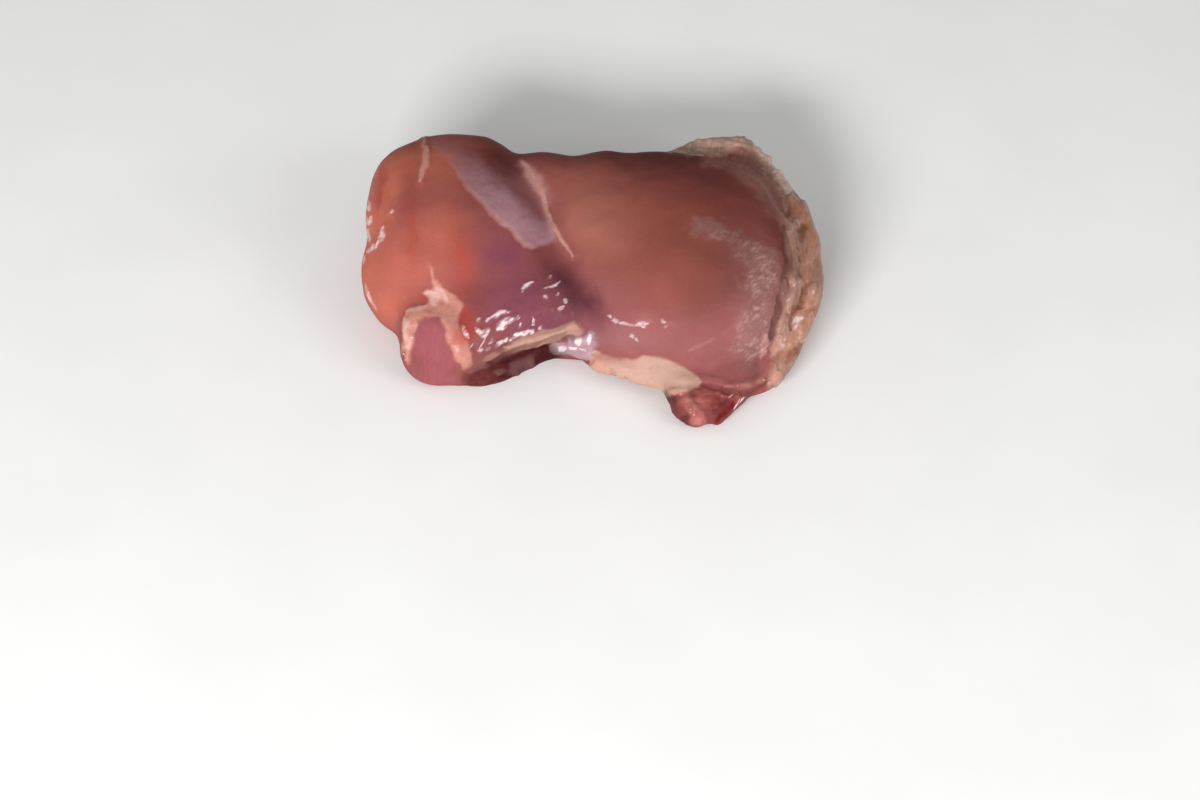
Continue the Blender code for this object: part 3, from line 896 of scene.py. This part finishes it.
# The work on the meat, in its order.
MEAT_WORK = [
    paint_mounds, paint_hidden_sides, carve_seams, lay_veil, carve_cut_end, carve_lip,
    carve_fold_under_lip, carve_tendon, carve_front_fat, carve_rim, carve_rim_lines, carve_rim_crest,
    carve_hem, carve_frost, carve_tag, lay_streaks, carve_fibres, wet_parts,
]


# The meat


def new_object(name, data):
    obj = bpy.data.objects.new(name, data)
    bpy.context.scene.collection.objects.link(obj)
    return obj


def ride_on_thigh(piece):
    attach(piece, "root")
    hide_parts("chicken_thigh")


def as_mesh(obj):
    """The object's evaluated mesh. The object itself is removed."""
    bpy.context.view_layer.update()
    depsgraph = bpy.context.evaluated_depsgraph_get()
    mesh = bpy.data.meshes.new_from_object(obj.evaluated_get(depsgraph))
    bpy.data.objects.remove(obj, do_unlink=True)
    return mesh


@contextmanager
def opened(mesh):
    """The mesh opened for editing, and written back afterwards."""
    body = bmesh.new()
    body.from_mesh(mesh)
    body.verts.ensure_lookup_table()
    yield body
    body.to_mesh(mesh)
    body.free()


def even_copy(node):
    """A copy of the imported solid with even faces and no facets."""
    mesh = node.data.copy()
    with opened(mesh) as body:
        bmesh.ops.remove_doubles(body, verts=body.verts, dist=SAME_PLACE)
    copy = new_object("even_copy", mesh)
    remesh = copy.modifiers.new("even", "REMESH")
    remesh.mode = "VOXEL"
    remesh.voxel_size = MEAT_VOXEL
    soften = copy.modifiers.new("soften", "SMOOTH")
    soften.factor = 0.5
    soften.iterations = MEAT_SOFTENING
    return as_mesh(copy)


def soften_dips(mesh):
    """Fills the crease between the left mound and the cut end, and the dip in the front fat."""
    meat = Surface(mesh)
    dips = np.maximum(meat.area(CUT_END_NECK, 3, wavy=0), meat.area(FRONT_FAT_END, 3, wavy=0)) > 0.5
    with opened(mesh) as body:
        verts = [body.verts[index] for index in np.flatnonzero(dips)]
        for _ in range(DIP_SOFTENING):
            bmesh.ops.smooth_vert(
                body, verts=verts, factor=0.5, use_axis_x=True, use_axis_y=True, use_axis_z=True)


def refine(mesh):
    """Splits the faces where the meat shows its fat, folds and wet tissue."""
    meat = Surface(mesh)
    detail = np.zeros(len(meat.places), bool)
    for outline in DETAIL_AREAS:
        detail |= meat.area(outline, 5, wavy=0) > 0
    for path in DETAIL_LINES:
        detail |= meat.stroke(path, 6, wavy=0) > 0
    with opened(mesh) as body:
        edges = [edge for edge in body.edges if all(detail[vert.index] for vert in edge.verts)]
        bmesh.ops.subdivide_edges(body, edges=edges, cuts=1, use_grid_fill=True)


def carve_and_paint(mesh):
    """Does all the work on the meat, and writes its places and one field for each mask."""
    meat = Surface(mesh)
    for work in MEAT_WORK:
        work(meat)
    places = meat.places + meat.normals * (meat.height * MM)[:, None]
    places[:, 2] = np.maximum(places[:, 2], 0.0)
    mesh.vertices.foreach_set("co", places.astype(np.float32).ravel())
    for tissue, mask in meat.masks.items():
        field = mesh.attributes.new(tissue, "FLOAT", "POINT")
        field.data.foreach_set("value", mask.astype(np.float32))


def add_meat():
    mesh = even_copy(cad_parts["chicken_thigh"])
    soften_dips(mesh)
    refine(mesh)
    carve_and_paint(mesh)
    mesh.materials.clear()
    mesh.materials.append(meat_material())
    mesh.shade_smooth()
    mesh.name = "raw_thigh"
    thigh = new_object("raw_thigh", mesh)
    ride_on_thigh(thigh)
    return thigh


# Node trees


class NodeTree:
    """Adds and links the nodes of one tree."""

    def __init__(self, tree):
        self.tree = tree

    def put(self, socket, value):
        """Links the value to the socket if it is an output, and sets it there otherwise."""
        if isinstance(value, bpy.types.NodeSocket):
            self.tree.links.new(value, socket)
        else:
            socket.default_value = value

    def node(self, kind, values, **settings):
        """Adds a node, sets its settings, and fills its inputs, which go by name or number."""
        node = self.tree.nodes.new(kind)
        for name, value in settings.items():
            setattr(node, name, value)
        for name, value in values.items():
            self.put(node.inputs[name], value)
        return node

    def add(self, kind, values, output=0, **settings):
        """Adds a node and gives one of its outputs."""
        return self.node(kind, values, **settings).outputs[output]

    def math(self, operation, first, second, clamp=False):
        return self.add("ShaderNodeMath", {0: first, 1: second}, operation=operation, use_clamp=clamp)


# Threads and grains grown along paths on the meat

# What the trees' inputs are set to.
THREAD_SIZES = {"Radius": 0.2 * MM, "Step": 0.35 * MM, "Wander": 0.25 * MM}
GRAIN_SIZES = {"Smallest": 0.2 * MM, "Largest": 0.44 * MM, "Spread": 0.55 * MM, "Step": 0.7 * MM}

# How deep the middles of the grains lie.
GRAIN_SINK = 0.24 * MM
# How many times in a metre a thread's wander changes.
WANDER_CHANGES = 420.0
# The pixels between two points of a path that is laid on the meat.
PATH_STEP = 2


class GrowTree(NodeTree):
    """A Geometry Nodes tree with named inputs, which ends in real faces of one material."""

    def __init__(self, name, sizes):
        super().__init__(bpy.data.node_groups.new(name, "GeometryNodeTree"))
        self.sizes = sizes
        interface = self.tree.interface
        interface.new_socket("Paths", in_out="INPUT", socket_type="NodeSocketGeometry")
        for size in sizes:
            interface.new_socket(size, in_out="INPUT", socket_type="NodeSocketFloat")
        interface.new_socket("Grown", in_out="OUTPUT", socket_type="NodeSocketGeometry")
        self.given = self.tree.nodes.new("NodeGroupInput").outputs

    def stepped_curve(self):
        """The paths as curves with a point at every step."""
        curve = self.add("GeometryNodeMeshToCurve", {"Mesh": self.given["Paths"]})
        return self.add(
            "GeometryNodeResampleCurve", {"Curve": curve, "Length": self.given["Step"]}, mode="LENGTH")

    def scaled(self, vector, scale):
        return self.add("ShaderNodeVectorMath", {0: vector, "Scale": scale}, operation="SCALE")

    def random_vector(self, low, high, seed):
        return self.add(
            "FunctionNodeRandomValue", {"Min": low, "Max": high, "Seed": seed}, data_type="FLOAT_VECTOR")

    def finish(self, geometry, material):
        real = self.add("GeometryNodeRealizeInstances", {"Geometry": geometry})
        smooth = self.add("GeometryNodeSetShadeSmooth", {"Geometry": real})
        coloured = self.add("GeometryNodeSetMaterial", {"Geometry": smooth, "Material": material})
        self.node("NodeGroupOutput", {0: coloured})

    def grow(self, name, mesh):
        """The piece that the tree makes on a mesh of paths."""
        holder = new_object(name + "_paths", mesh)
        modifier = holder.modifiers.new("grow", "NODES")
        modifier.node_group = self.tree
        for socket in self.tree.interface.items_tree:
            if socket.name in self.sizes:
                modifier[socket.identifier] = self.sizes[socket.name]
        ride_on_thigh(new_object(name, as_mesh(holder)))


def thread_tree(material):
    """Thin wet threads with pointed ends and an uneven thickness."""
    grow = GrowTree("threads_along_paths", THREAD_SIZES)
    curve = grow.stepped_curve()
    spread = grow.add(
        "ShaderNodeVectorMath",
        {0: grow.add("GeometryNodeInputPosition", {}), 1: (WANDER_CHANGES,) * 3}, operation="MULTIPLY")
    uneven = grow.node("ShaderNodeTexNoise", {"Scale": 1.0, "Vector": spread}).outputs
    wander = grow.add(
        "ShaderNodeVectorMath", {0: uneven["Color"], 1: (0.5, 0.5, 0.5)}, operation="SUBTRACT")
    wander = grow.scaled(wander, grow.given["Wander"])
    curve = grow.add("GeometryNodeSetPosition", {"Geometry": curve, "Offset": wander})
    from_middle = grow.math("MULTIPLY", grow.add("GeometryNodeSplineParameter", {}), 2.0)
    from_middle = grow.math("SUBTRACT", from_middle, 1.0)
    taper = grow.math("SUBTRACT", 1.08, grow.math("POWER", from_middle, 2.0))
    radius = grow.math("MULTIPLY", grow.math("MULTIPLY", taper, uneven["Fac"]), grow.given["Radius"])
    profile = grow.add("GeometryNodeCurvePrimitiveCircle", {"Resolution": 7, "Radius": 2.0})
    tube = grow.add(
        "GeometryNodeCurveToMesh",
        {"Curve": curve, "Profile Curve": profile, "Scale": radius, "Fill Caps": True})
    grow.finish(tube, material)
    return grow


def grain_tree(material):
    """Small soft grains of fat, scattered along the paths and half sunk in the meat."""
    grow = GrowTree("grains_along_paths", GRAIN_SIZES)
    shift = grow.random_vector((-1.0, -1.0, -0.4), (1.0, 1.0, 0.4), seed=5)
    spread = grow.scaled(shift, grow.given["Spread"])
    curve = grow.add("GeometryNodeSetPosition", {"Geometry": grow.stepped_curve(), "Offset": spread})
    size = grow.add(
        "FunctionNodeRandomValue",
        {2: grow.given["Smallest"], 3: grow.given["Largest"], "Seed": 9}, output=1, data_type="FLOAT")
    scale = grow.scaled(grow.random_vector((0.7, 0.7, 0.6), (1.5, 1.2, 1.0), seed=13), size)
    turn = grow.random_vector((0.0, 0.0, 0.0), (math.pi, math.pi, math.pi), seed=17)
    ball = grow.add("GeometryNodeMeshUVSphere", {"Segments": 8, "Rings": 6, "Radius": 1.0})
    grains = grow.add(
        "GeometryNodeInstanceOnPoints",
        {"Points": curve, "Instance": ball, "Rotation": turn, "Scale": scale})
    grow.finish(grains, material)
    return grow


def laid_paths(name, meat_tree, paths, lift):
    """A mesh of the pixel paths, laid on the meat that the camera sees there."""
    points = []
    edges = []
    for path in paths:
        first = len(points)
        for start, end in zip(path[:-1], path[1:]):
            steps = max(1, round(math.dist(start, end) / PATH_STEP))
            for step in range(steps):
                share = step / steps
                pixel = [a + (b - a) * share for a, b in zip(start, end)]
                place, normal, _, _ = meat_tree.ray_cast(camera_place(), sight_line(pixel))
                if place is not None:
                    points.append(place + normal * lift)
        edges += [(index, index + 1) for index in range(first, len(points) - 1)]
    mesh = bpy.data.meshes.new(name)
    mesh.from_pydata(points, edges, [])
    return mesh


def grow_on(thigh):
    body = bmesh.new()
    body.from_mesh(thigh.data)
    meat_tree = BVHTree.FromBMesh(body)
    body.free()
    threads = laid_paths("thread_paths", meat_tree, THREADS, 0.0)
    thread_tree(sinew_material()).grow("sinew_threads", threads)
    grains = laid_paths("grain_paths", meat_tree, GRAIN_PATHS, -GRAIN_SINK)
    grain_tree(grain_material()).grow("fat_grains", grains)


# Materials

# Colours are sRGB values from 0 to 255.
BASE_MEAT = (131, 71, 69)
# The colour of the dried skin's pale flecks, partly painted sparkle.
DRIED_FLECK_AND_SPARKLE = (186, 146, 140)
SINEW_COLOURS = ((172, 118, 118), (206, 166, 164))
GRAIN_COLOURS = ((150, 98, 86), (190, 146, 130))
TABLE_COLOURS = ((240, 240, 239), (243, 243, 242))

# Each tissue's colour, and how ragged its edge is; some colours are painted light and shade, as
# marked. A later one lies over an earlier one.
TISSUES = [
    # Brown, partly painted shade over the tops of the mounds.
    ("umber_and_shade", (79, 26, 18), 0.0),
    ("tan", (136, 75, 62), 0.0),
    ("dusk", (112, 64, 60), 0.0),
    # Painted light on the lit left side of the right mound.
    ("clay_lit_side", (160, 98, 84), 0.0),
    ("rose", (137, 81, 79), 0.0),
    ("sienna", (164, 90, 72), 0.0),
    ("coral", (165, 90, 78), 0.0),
    ("apricot", (182, 98, 80), 0.0),
    ("ember", (161, 66, 51), 0.2),
    ("plum", (113, 60, 72), 0.2),
    # Painted shadow in the valley between the mounds.
    ("plum_shadow", (61, 24, 35), 0.1),
    # Painted shadow under the lip.
    ("lip_shadow", (62, 15, 17), 0.3),
    ("veil", (155, 116, 122), 0.4),
    ("silver", (142, 104, 106), 0.5),
    ("frost", (134, 93, 89), 0.3),
    ("tag", (148, 79, 76), 0.3),
    ("cut_face", (140, 76, 81), 0.2),
    ("salmon", (184, 126, 112), 0.5),
    ("fat", (149, 108, 91), 0.4),
    ("rim_skin", (133, 86, 79), 0.4),
    ("yolk", (160, 107, 81), 0.4),
    # Painted shade in creases, notches, fold hollows and a corner, brown as the rim's creases are.
    ("crease_shade", (110, 62, 42), 0.4),
    ("lip", (111, 75, 68), 0.4),
    ("cream", (190, 144, 130), 0.5),
    ("peach", (176, 141, 126), 0.3),
    ("tendon", (162, 131, 139), 0.3),
    ("dry_edge", (160, 142, 121), 0.5),
    # Pale specks of dried skin, partly painted sparkle.
    ("speck_and_sparkle", (172, 130, 126), 0.8),
    # Painted shade in grooves, creases, holes and hollows.
    ("painted_shade", (52, 17, 16), 0.3),
    ("blood", (105, 8, 13), 0.4),
    # Painted glints.
    ("painted_glint", (238, 219, 221), 0.5),
]

# The fine relief of a tissue: its noise's spans in millimetres, detail and turn, its mask and its
# strength.
RELIEFS = [
    ((0.35, 5, 3), 3.0, 4, "fibre", 0.2),
    ((1.1, 0.5, 0.6), 4.0, -35, "frost", 0.5),
    ((0.6, 2.2, 1.4), 4.0, 12, "fat", 0.35),
    ((2.4, 0.6, 1.0), 3.0, -60, "wet", 0.25),
]
BUMP_STRENGTH = 0.6
BUMP_DEPTH = 0.25 * MM

DRY_ROUGHNESS = 0.55
WET_ROUGHNESS = 0.3
TABLE_ROUGHNESS = 0.8

# What meat, fat and sinew have in common.
FLESH = {
    "Subsurface Weight": 0.2,
    "Subsurface Radius": (1.0, 0.35, 0.22),
    "Subsurface Scale": 2.5 * MM,
    "IOR": 1.4,
    "Specular IOR Level": 0.05,
    "Coat Roughness": 0.14,
    "Coat IOR": 1.4,
}


def linear(colour):
    """The linear colour of an sRGB colour."""
    parts = []
    for part in colour:
        share = part / 255
        parts.append(share / 12.92 if share <= 0.04045 else ((share + 0.055) / 1.055) ** 2.4)
    return (*parts, 1.0)


class MaterialTree(NodeTree):
    """The nodes of one material, with its shader and the places that its noise is read at."""

    def __init__(self, name):
        self.material = bpy.data.materials.new(name)
        self.material.use_nodes = True
        super().__init__(self.material.node_tree)
        self.shader = self.tree.nodes["Principled BSDF"]
        self.places = self.add("ShaderNodeTexCoord", {}, "Object")

    def shade(self, values):
        """Links or sets the shader's inputs by name."""
        for name, value in values.items():
            self.put(self.shader.inputs[name], value)

    def make_flesh(self):
        self.shader.subsurface_method = "RANDOM_WALK"
        self.shade(FLESH)

    def stretched(self, spans, degrees=0.0):
        """The places, turned about Z, scaled so that one unit is a span in millimetres on each axis."""
        places = self.places
        if degrees != 0.0:
            turn = {"Angle": math.radians(degrees), "Vector": places}
            places = self.add("ShaderNodeVectorRotate", turn, "Vector", rotation_type="Z_AXIS")
        scale = [1 / (span * MM) for span in spans]
        return self.add("ShaderNodeMapping", {"Scale": scale, "Vector": places}, "Vector")

    def noise(self, spans, detail=3.0, degrees=0.0):
        values = {"Scale": 1.0, "Detail": detail, "Vector": self.stretched(spans, degrees)}
        return self.add("ShaderNodeTexNoise", values, "Fac")

    def mask(self, tissue):
        return self.add("ShaderNodeAttribute", {}, "Fac", attribute_name=tissue)

    def ramp(self, value, low, high, to_low=0.0, to_high=1.0):
        """A smooth rise from one number to another as the value goes from low to high."""
        values = {"Value": value, "From Min": low, "From Max": high, "To Min": to_low, "To Max": to_high}
        return self.add("ShaderNodeMapRange", values, "Result", interpolation_type="SMOOTHSTEP")

    def mix(self, factor, first, second, blend="MIX"):
        values = {0: factor, 6: first, 7: second}
        return self.add("ShaderNodeMix", values, 2, data_type="RGBA", blend_type=blend)

    def darkened(self, colour, shade):
        """The colour times a grey shade, which may be over 1."""
        grey = self.add("ShaderNodeCombineColor", dict.fromkeys(("Red", "Green", "Blue"), shade))
        return self.mix(1.0, colour, grey, "MULTIPLY")


def tissue_colours(nodes):
    """The meat's colour with every tissue, and the painted light and shade, laid over it by its mask."""
    ragged = nodes.math("SUBTRACT", nodes.noise((1.3, 1.3, 1.3), detail=5.0), 0.5)
    colour = linear(BASE_MEAT)
    for tissue, tissue_colour, raggedness in TISSUES:
        mask = nodes.mask(tissue)
        if raggedness > 0:
            edge = nodes.math("MULTIPLY", ragged, 2 * raggedness)
            mask = nodes.math("ADD", mask, nodes.math("MULTIPLY", edge, mask), clamp=True)
        colour = nodes.mix(mask, colour, linear(tissue_colour))
    return colour


def meat_colour(nodes):
    """The tissues' colours, varied by blotches, fibres, grain, dried flecks that are partly painted
    sparkle, and wrinkles.
    """
    blotches = nodes.ramp(nodes.noise((11, 11, 11), detail=4.0), 0.3, 0.7, 0.95, 1.05)
    strands = nodes.math("SUBTRACT", nodes.noise((0.7, 6, 4), detail=4.0, degrees=4), 0.5)
    strands = nodes.math("MULTIPLY", strands, nodes.mask("fibre"))
    fibres = nodes.math("ADD", nodes.math("MULTIPLY", strands, 0.4), 1.0)
    grain = nodes.ramp(nodes.noise((0.45, 0.45, 0.45), detail=3.0), 0.25, 0.75, 0.96, 1.04)
    shade = nodes.math("MULTIPLY", nodes.math("MULTIPLY", blotches, fibres), grain)
    colour = nodes.darkened(tissue_colours(nodes), shade)
    flecks = nodes.ramp(nodes.noise((1.0, 0.45, 0.6), detail=3.0, degrees=-40), 0.45, 0.7)
    # Pale flecks of dried skin, partly painted sparkle.
    dried_and_sparkle = nodes.math("MULTIPLY", flecks, nodes.mask("speck_and_sparkle"))
    colour = nodes.mix(nodes.math("MULTIPLY", dried_and_sparkle, 0.35), colour, linear(DRIED_FLECK_AND_SPARKLE))
    wrinkles = nodes.ramp(nodes.noise((0.7, 2.8, 1.8), detail=4.0, degrees=12), 0.3, 0.7, -0.12, 0.12)
    wrinkled = nodes.math("ADD", nodes.math("MULTIPLY", wrinkles, nodes.mask("fat")), 1.0)
    return nodes.darkened(colour, wrinkled)


def meat_bump(nodes):
    """Relief too fine for the mesh: an even grain, and each tissue's own."""
    height = nodes.math("MULTIPLY", nodes.noise((0.5, 0.5, 0.5), detail=4.0), 0.2)
    for spans, detail, degrees, tissue, strength in RELIEFS:
        relief = nodes.math("MULTIPLY", nodes.noise(spans, detail, degrees), nodes.mask(tissue))
        height = nodes.math("ADD", height, nodes.math("MULTIPLY", relief, strength))
    values = {"Strength": BUMP_STRENGTH, "Distance": BUMP_DEPTH, "Height": height}
    return nodes.add("ShaderNodeBump", values, "Normal")


def meat_material():
    nodes = MaterialTree("wet_raw_meat")
    wet = nodes.mask("wet")
    broken = nodes.ramp(nodes.noise((2.2, 2.2, 2.2), detail=4.0), 0.35, 0.65, 0.55, 1.0)
    nodes.make_flesh()
    nodes.shade({
        "Base Color": meat_colour(nodes),
        "Roughness": nodes.ramp(wet, 0.0, 1.0, DRY_ROUGHNESS, WET_ROUGHNESS),
        "Coat Weight": nodes.math("MULTIPLY", wet, broken),
        "Normal": meat_bump(nodes),
    })
    return nodes.material


def small_tissue_material(name, span, colours, roughness, coat):
    """A tissue between two colours and two roughnesses, by a noise of one span."""
    nodes = MaterialTree(name)
    tone = nodes.ramp(nodes.noise((span, span, span), detail=4.0), 0.3, 0.7)
    nodes.make_flesh()
    nodes.shade({
        "Base Color": nodes.mix(tone, *map(linear, colours)),
        "Roughness": nodes.ramp(tone, 0.0, 1.0, *roughness),
        "Coat Weight": coat,
    })
    return nodes.material


def sinew_material():
    return small_tissue_material("wet_sinew", 1.5, SINEW_COLOURS, roughness=(0.3, 0.42), coat=0.8)


def grain_material():
    return small_tissue_material("fat_grain", 0.9, GRAIN_COLOURS, roughness=(0.45, 0.6), coat=0.2)


def table_material():
    nodes = MaterialTree("pale_table")
    grain = nodes.ramp(nodes.noise((40, 40, 40)), 0.3, 0.7)
    colour = nodes.mix(grain, *map(linear, TABLE_COLOURS))
    nodes.shade({"Base Color": colour, "Roughness": TABLE_ROUGHNESS})
    return nodes.material


# Table and light

TABLE_SIZE = 2.0
LAMP_AIM = Vector((0.0, 0.0, 0.012))
# Each lamp's name, place, power, width and height.
LAMPS = [
    ("key", (-0.34, -0.92, 0.44), 13.0, 0.5, 0.16),
    ("fill", (0.8, -0.6, 0.5), 3.5, 0.6, 0.5),
]
ROOM_LIGHT = 0.38


def add_table():
    mesh = bpy.data.meshes.new("table")
    with opened(mesh) as body:
        bmesh.ops.create_grid(body, x_segments=4, y_segments=4, size=TABLE_SIZE)
    mesh.materials.append(table_material())
    new_object("table", mesh)


def add_lamp(name, place, power, width, height):
    lamp = bpy.data.lights.new(name, "AREA")
    lamp.energy = power
    lamp.shape = "RECTANGLE"
    lamp.size = width
    lamp.size_y = height
    holder = new_object(name, lamp)
    holder.location = place
    holder.rotation_mode = "QUATERNION"
    holder.rotation_quaternion = (LAMP_AIM - Vector(place)).to_track_quat("-Z", "Y")


def add_light():
    for lamp in LAMPS:
        add_lamp(*lamp)
    world = bpy.data.worlds.new("soft_room")
    world.use_nodes = True
    background = world.node_tree.nodes["Background"].inputs
    background["Color"].default_value = (1.0, 1.0, 1.0, 1.0)
    background["Strength"].default_value = ROOM_LIGHT
    bpy.context.scene.world = world


grow_on(add_meat())
add_table()
add_light()
add_camera()
bpy.context.scene.view_settings.view_transform = "Standard"
